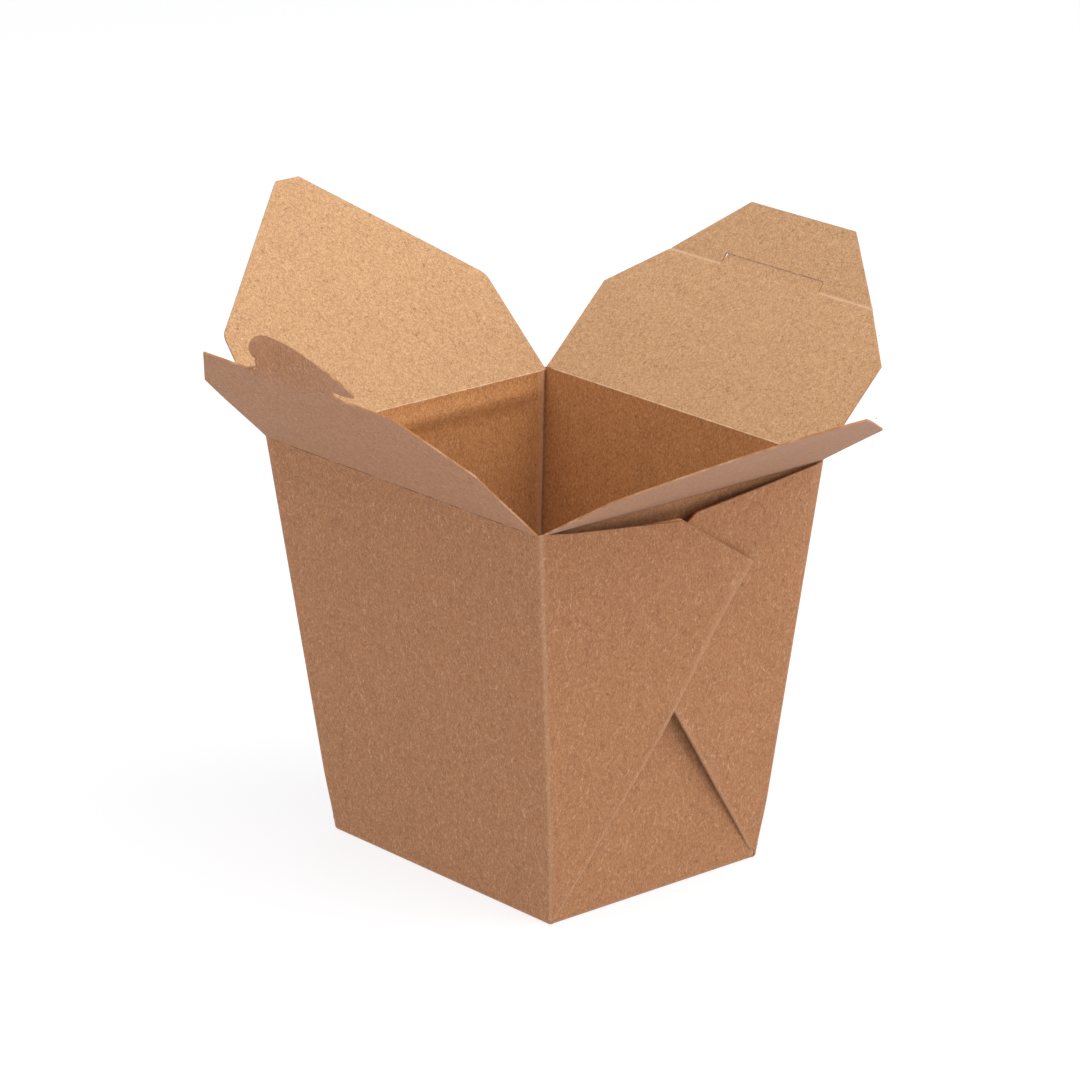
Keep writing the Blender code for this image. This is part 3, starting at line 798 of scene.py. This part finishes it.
def slot_flap_patches():
    """The slot flap: a long trapezium whose end is bent up along a crease, with a flat tongue cut
    free in the middle of the crease."""
    sizes = bpy.context.scene.noodlebox_sizes
    half_crease = GUSSET_MOUTH + 2 * LAYER - FLAP_END
    above = SLOT_CREASE + TONGUE_HEIGHT + CUT_WIDTH

    def half(v):
        """Half the flap's width at a distance out."""
        return np.interp(v, [0, SLOT_SIDE, SLOT_DEPTH], [half_crease, half_crease, SLOT_HALF_TIP])

    def bent(u, v):
        """Turn what lies past the crease up by the bend, with a low bead pressed at the crease."""
        past = np.maximum(v - SLOT_CREASE, 0.0)
        easing = smoothstep(past / (1.2 * MM))
        n = past * math.tan(sizes.slot_bend) * easing
        n = n - BEAD_HEIGHT * ridge(v, SLOT_CREASE, BEAD_WIDTH)
        return flat(u, v - past * (1 - math.cos(sizes.slot_bend)), n)

    def crease_wear(v):
        """How much the liner has paled along the crease."""
        return 0.7 * ridge(v, SLOT_CREASE, 0.45 * MM)

    near_crease = spread(SLOT_CREASE - 1.5 * MM, SLOT_CREASE, 0.25 * MM)[1:]
    rows = np.concatenate([spread(0, SLOT_SIDE, 2.0 * MM),
                           spread(SLOT_SIDE, SLOT_CREASE - 1.5 * MM, 1.6 * MM)[1:],
                           near_crease])[:, None]
    share = np.linspace(-1, 1, 31)[None]
    outer_share = np.linspace(0, 1, 19)[None]
    bow = flap_bow(rows, SLOT_DEPTH, SLOT_BOW)
    patches = [grid(flat(TONGUE_HALF_ROOT * share, rows, bow))]
    tongue_rows = spread(SLOT_CREASE, SLOT_CREASE + TONGUE_HEIGHT, 0.4 * MM)[:, None]
    tongue_half = np.interp(tongue_rows, [SLOT_CREASE, SLOT_CREASE + TONGUE_HEIGHT],
                            [TONGUE_HALF_ROOT, TONGUE_HALF_TIP])
    at_crease = flap_bow(SLOT_CREASE, SLOT_DEPTH, SLOT_BOW)
    patches.append(grid(flat(tongue_half * share, tongue_rows,
                             at_crease + 0.04 * (tongue_rows - SLOT_CREASE))))
    strip_rows = spread(SLOT_CREASE, above, 0.3 * MM)[:, None]
    tip_rows = spread(above, SLOT_DEPTH, 1.3 * MM)[:, None]
    split = TONGUE_HALF_ROOT + CUT_WIDTH * np.minimum((strip_rows - SLOT_CREASE) / CUT_WIDTH, 1.0)
    for sign in (-1, 1):
        wide = TONGUE_HALF_ROOT + (half(rows) - TONGUE_HALF_ROOT) * outer_share
        near = flat(sign * wide, rows, bow - BEAD_HEIGHT * ridge(rows, SLOT_CREASE, BEAD_WIDTH))
        wide = split + (half(strip_rows) - split) * outer_share
        strip = bent(sign * wide, strip_rows)
        strip[..., 2] += at_crease
        edge = TONGUE_HALF_ROOT + CUT_WIDTH
        wide = edge + (half(tip_rows) - edge) * outer_share
        tip = bent(sign * wide, tip_rows)
        tip[..., 2] += at_crease
        for points, wear_and_highlight in ((near, crease_wear(rows)), (strip, crease_wear(strip_rows)),
                             (tip, 0.0 * tip_rows)):
            wear_and_highlight = np.broadcast_to(wear_and_highlight, points.shape[:2])
            patches.append(grid(points if sign > 0 else points[:, ::-1], wear_and_highlight))
    middle = bent((TONGUE_HALF_ROOT + CUT_WIDTH) * share, tip_rows)
    middle[..., 2] += at_crease
    patches.append(grid(middle))
    return patches


def side_flap_patches(depth, shoulder, narrowing, bow, droop):
    """A side flap: almost straight sides, rounded shoulders and a long taper to a narrow tip.

    It sinks from the bow of its middle by the droop times the cube of the share of the depth.
    """
    half_crease = MAIN_MOUTH - FLAP_END
    narrow = half_crease - narrowing
    turn = np.linspace(0, SIDE_SHOULDER_TURN, 9)
    drop = SIDE_SHOULDER_RADIUS * math.tan(SIDE_SHOULDER_TURN / 2)
    shoulder_v = shoulder - drop + SIDE_SHOULDER_RADIUS * np.sin(turn)
    shoulder_u = narrow - SIDE_SHOULDER_RADIUS * (1 - np.cos(turn))
    rows = np.concatenate([spread(0, shoulder_v[0], 1.8 * MM)[:-1], shoulder_v,
                           spread(shoulder_v[-1], depth, 1.5 * MM)[1:]])[:, None]
    outline_v = np.concatenate([[0.0], shoulder_v, [depth]])
    outline_u = np.concatenate([[half_crease], shoulder_u, [SIDE_HALF_TIP]])
    half = np.interp(rows, outline_v, outline_u)
    share = np.linspace(-1, 1, 53)[None]
    rise = flap_bow(rows, depth, bow) - droop * (rows / depth) ** 3
    ripple = SIDE_RIPPLE * np.sin(5 * share) * np.sin(math.pi * rows / depth)
    return [grid(flat(half * share, rows, rise + ripple))]


# ----------------------------------------
# Burrs and creases


def tuft(place, direction, size, seed):
    """A burr of pulp left by a nick in the cutting rule: a short tapered, bent cone, closed at
    both ends. Its radius falls off as the square root of what is left of its length."""
    random = np.random.default_rng(seed)
    direction = np.array(Vector(direction).normalized())
    side = np.cross(direction, [0.3, 0.5, 0.8])
    side = side / np.linalg.norm(side)
    other = np.cross(direction, side)
    along = np.linspace(0, 1, 5)[:, None, None]
    turn = np.linspace(0, 2 * math.pi, 7)[None, :, None]
    radius = 0.30 * size * np.sqrt(1 - along * 0.97) * (1 + 0.2 * random.standard_normal((1, 7, 1)))
    radius[:, -1] = radius[:, 0]
    bend = (random.random(2) - 0.5) * 0.9 * size
    centre = np.array(place) + direction * (along - 0.3) * size
    centre = centre + side * bend[0] * along ** 2 + other * bend[1] * along ** 2
    rings = centre + radius * (np.cos(turn) * side + np.sin(turn) * other)
    ends = np.broadcast_to(centre[[0, -1]], (2,) + rings.shape[1:])
    return grid(np.concatenate([ends[:1], rings, ends[1:]]))


def join_tufts(solid, tufts):
    """Join tufts to a board mesh, in the cut edge's finish."""
    burrs = sheet_mesh("tufts", tufts)
    burrs.polygons.foreach_set("material_index", [CUT_EDGE] * len(burrs.polygons))
    joined = bmesh.new()
    joined.from_mesh(solid)
    joined.from_mesh(burrs)
    joined.to_mesh(solid)
    joined.free()
    bpy.data.meshes.remove(burrs)


def edge_tufts(body, lean, spots):
    """Tufts at spots of a flap, each given as along, out, the edge's outward direction in the
    flap's plane and a size, all but the direction in millimetres."""
    tufts = []
    for number, (u, v, du, dv, size) in enumerate(spots):
        place = stand_up(body, lean, [u * MM, v * MM, 0.0])
        ahead = stand_up(body, lean, [u * MM + du * MM, v * MM + dv * MM, 0.1 * MM])
        tufts.append(tuft(place, ahead - place, size * MM, number + len(body)))
    return tufts


def make_flap(body, lean, patches, spots):
    """Stand a flap's patches on its crease and make its board, with burrs at spots of its edge."""
    placed = [dict(patch, points=stand_up(body, lean, patch["points"])) for patch in patches]
    board_piece(body + "_board", placed, body, body, edge_tufts(body, lean, spots))


def crease_bead(start, end, radius, seed):
    """A thin uneven ridge of crushed fibres along a crease: a tube whose radius wanders.

    The radius is the mean times 1 plus three slow sines, and it closes at both ends.
    """
    random = np.random.default_rng(seed)
    start, end = np.array(start), np.array(end)
    axis = (end - start) / np.linalg.norm(end - start)
    side = np.cross(axis, [0, 0, 1])
    up = np.cross(side, axis)
    s = np.linspace(0, 1, 180)[:, None, None]
    turn = np.linspace(0, 2 * math.pi, 9)[None, :, None]
    wander = sum(random.uniform(0.05, 0.10) * np.sin(2 * math.pi * (k * s + random.random()))
                 for k in (5, 13, 29))
    size = radius * (1 + wander) * np.minimum(1, 40 * np.minimum(s, 1 - s) + 0.02)
    points = start + (end - start) * s + size * (np.cos(turn) * side + np.sin(turn) * up)
    return grid(points[:, ::-1], 0.5)


# ----------------------------------------
# Operators


class NOODLEBOX_OT_tray(bpy.types.Operator):
    """Fold the tray: base, panels and webs in one sheet of board"""
    bl_idname = "noodlebox.tray"
    bl_label = "Tray"

    def execute(self, context):
        board_piece("tray_board", tray_patches(), BODY, "box_body")
        return {"FINISHED"}


class NOODLEBOX_OT_creases(bpy.types.Operator):
    """Lay ridges along the four creases at the mouth: pale crushed fibres on two, partly a painted
    highlight, and dark lines of painted shade just outside the other two
    """
    bl_idname = "noodlebox.creases"
    bl_label = "Creases"

    def execute(self, context):
        colours = context.scene.noodlebox_colours
        # Pale ridges on the inner creases, partly a painted highlight, and dark lines of painted
        # shade just outside the two outer creases
        for name, base, bodies, sink, radius in (
                ("crease_fibres", colours.pale_wear_and_highlight, ("slot_flap", "rear_side_flap"), 0.0, 0.25 * MM),
                ("crease_shade_lines", colours.crease_shade, ("lock_flap", "front_side_flap"), 0.17 * MM,
                 0.21 * MM)):
            patches = []
            for seed, body in enumerate(bodies, start=11):
                level = Vector(LEVEL[body])
                along = Vector((0, 0, 1)).cross(level)
                half = (GUSSET_MOUTH if abs(along.x) > 0.5 else MAIN_MOUTH) - 0.4 * MM
                middle = HINGES[body] + level * sink
                patches.append(crease_bead(middle - along * half, middle + along * half, radius,
                                           seed))
            mesh = sheet_mesh(name, patches)
            mesh.materials.append(pulp("kraft_pulp_" + name, tuple(base), colours))
            mesh.shade_smooth()
            piece = bpy.data.objects.new(name, mesh)
            context.scene.collection.objects.link(piece)
            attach(piece, BODY)
        return {"FINISHED"}


class NOODLEBOX_OT_lock_flap(bpy.types.Operator):
    """Make the lock flap with its curled tab"""
    bl_idname = "noodlebox.lock_flap"
    bl_label = "Lock flap"

    def execute(self, context):
        make_flap("lock_flap", context.scene.noodlebox_sizes.lock_lean, lock_flap_patches(), (
            (40.6, 36.6, 0.7, 0.7, 0.5), (45.6, 31.6, 0.7, 0.7, 0.45), (51.2, 12.0, 1, 0, 0.4)))
        return {"FINISHED"}


class NOODLEBOX_OT_slot_flap(bpy.types.Operator):
    """Make the slot flap with its tongue and bent end"""
    bl_idname = "noodlebox.slot_flap"
    bl_label = "Slot flap"

    def execute(self, context):
        make_flap("slot_flap", context.scene.noodlebox_sizes.slot_lean, slot_flap_patches(), (
            (-44.0, 35.0, -0.7, 0.7, 0.4), (8.0, 59.5, 0, 1, 0.4)))
        return {"FINISHED"}


class NOODLEBOX_OT_side_flaps(bpy.types.Operator):
    """Make the two pointed side flaps"""
    bl_idname = "noodlebox.side_flaps"
    bl_label = "Side flaps"

    def execute(self, context):
        sizes = context.scene.noodlebox_sizes
        for body, lean, shape in (("front_side_flap", sizes.front_side_lean, FRONT_SIDE_FLAP),
                                  ("rear_side_flap", sizes.rear_side_lean, REAR_SIDE_FLAP)):
            make_flap(body, lean, side_flap_patches(**shape), (
                (-20.0, 51.0, -0.6, 0.8, 0.45), (24.0, 47.0, 0.6, 0.8, 0.4)))
        return {"FINISHED"}


def aim_camera(scene):
    """A long lens looking slightly down at the corner between the lock and front side flaps."""
    back = Vector((math.sin(CAMERA_AZIMUTH) * math.cos(CAMERA_ELEVATION),
                   -math.cos(CAMERA_AZIMUTH) * math.cos(CAMERA_ELEVATION),
                   math.sin(CAMERA_ELEVATION)))
    level_right = Vector((math.cos(CAMERA_AZIMUTH), math.sin(CAMERA_AZIMUTH), 0))
    level_up = back.cross(level_right)
    right = level_right * math.cos(CAMERA_ROLL) + level_up * math.sin(CAMERA_ROLL)
    up = level_up * math.cos(CAMERA_ROLL) - level_right * math.sin(CAMERA_ROLL)
    data = bpy.data.cameras.new("camera")
    data.lens = CAMERA_LENS
    data.sensor_width = 36.0
    camera = bpy.data.objects.new("camera", data)
    scene.collection.objects.link(camera)
    camera.matrix_world = Matrix((right, up, back)).transposed().to_4x4()
    camera.location = back * CAMERA_PLACE[0] + up * CAMERA_PLACE[1] + right * CAMERA_PLACE[2]
    scene.camera = camera


def soft_box(scene, name, place, size, power, tone):
    """A soft box: a square area light aimed at the middle of the pail."""
    data = bpy.data.lights.new(name, "AREA")
    data.size = size
    data.energy = power
    data.color = linear(tone)[:3]
    light = bpy.data.objects.new(name, data)
    scene.collection.objects.link(light)
    light.location = place
    light.rotation_euler = (Vector(AIM) - Vector(place)).to_track_quat("-Z", "Y").to_euler()


class NOODLEBOX_OT_stage(bpy.types.Operator):
    """Set the white sweep, the soft light, brighter near the horizon, and the camera"""
    bl_idname = "noodlebox.stage"
    bl_label = "Stage"

    def execute(self, context):
        scene = context.scene
        x, y = np.meshgrid(*2 * [np.linspace(-SWEEP_HALF, SWEEP_HALF, 25)])
        mesh = sheet_mesh("paper_sweep", [grid(flat(x, y))])
        mesh.materials.append(paper_sweep(scene.noodlebox_colours))
        mesh.shade_smooth()
        floor = bpy.data.objects.new("paper_sweep", mesh)
        scene.collection.objects.link(floor)
        world = bpy.data.worlds.new("studio")
        world.use_nodes = True
        sky = world.node_tree
        height = add_node(sky, "ShaderNodeSeparateXYZ", {
            "Vector": add_node(sky, "ShaderNodeTexCoord").outputs["Generated"]}).outputs["Z"]
        strength = add_node(sky, "ShaderNodeMapRange", {
            "Value": height, "From Min": 0.2, "From Max": 0.5, "To Min": 0.70, "To Max": 0.38})
        sky.links.new(strength.outputs[0], sky.nodes["Background"].inputs["Strength"])
        sky.nodes["Background"].inputs["Color"].default_value = linear("ffffff")
        scene.world = world
        for item in SOFT_BOXES:
            soft_box(scene, *item)
        scene.view_settings.view_transform = "Standard"
        aim_camera(scene)
        return {"FINISHED"}


OPERATORS = (NOODLEBOX_OT_stage, NOODLEBOX_OT_tray, NOODLEBOX_OT_creases, NOODLEBOX_OT_lock_flap,
             NOODLEBOX_OT_slot_flap, NOODLEBOX_OT_side_flaps)


class NOODLEBOX_PT_panel(bpy.types.Panel):
    """Lists the takeaway box's values and pieces"""
    bl_label = "Takeaway box"
    bl_idname = "NOODLEBOX_PT_panel"
    bl_space_type = "VIEW_3D"
    bl_region_type = "UI"
    bl_category = "Takeaway box"

    def draw(self, context):
        for group in (context.scene.noodlebox_sizes, context.scene.noodlebox_colours):
            column = self.layout.column()
            for name in group.bl_rna.properties.keys():
                if name not in ("rna_type", "name"):
                    column.prop(group, name)
        for operator in OPERATORS:
            self.layout.operator(operator.bl_idname)


CLASSES = (NOODLEBOX_PG_sizes, NOODLEBOX_PG_colours) + OPERATORS + (NOODLEBOX_PT_panel,)


def register():
    """Register the classes and hang the values on the scene."""
    for item in CLASSES:
        bpy.utils.register_class(item)
    bpy.types.Scene.noodlebox_sizes = bpy.props.PointerProperty(type=NOODLEBOX_PG_sizes)
    bpy.types.Scene.noodlebox_colours = bpy.props.PointerProperty(type=NOODLEBOX_PG_colours)


def unregister():
    """Take the values and the classes away again."""
    del bpy.types.Scene.noodlebox_colours
    del bpy.types.Scene.noodlebox_sizes
    for item in reversed(CLASSES):
        bpy.utils.unregister_class(item)


def main():
    """Make the stage and every piece."""
    register()
    bpy.ops.noodlebox.stage()
    bpy.ops.noodlebox.tray()
    bpy.ops.noodlebox.creases()
    bpy.ops.noodlebox.lock_flap()
    bpy.ops.noodlebox.slot_flap()
    bpy.ops.noodlebox.side_flaps()


if __name__ == "__main__":
    main()
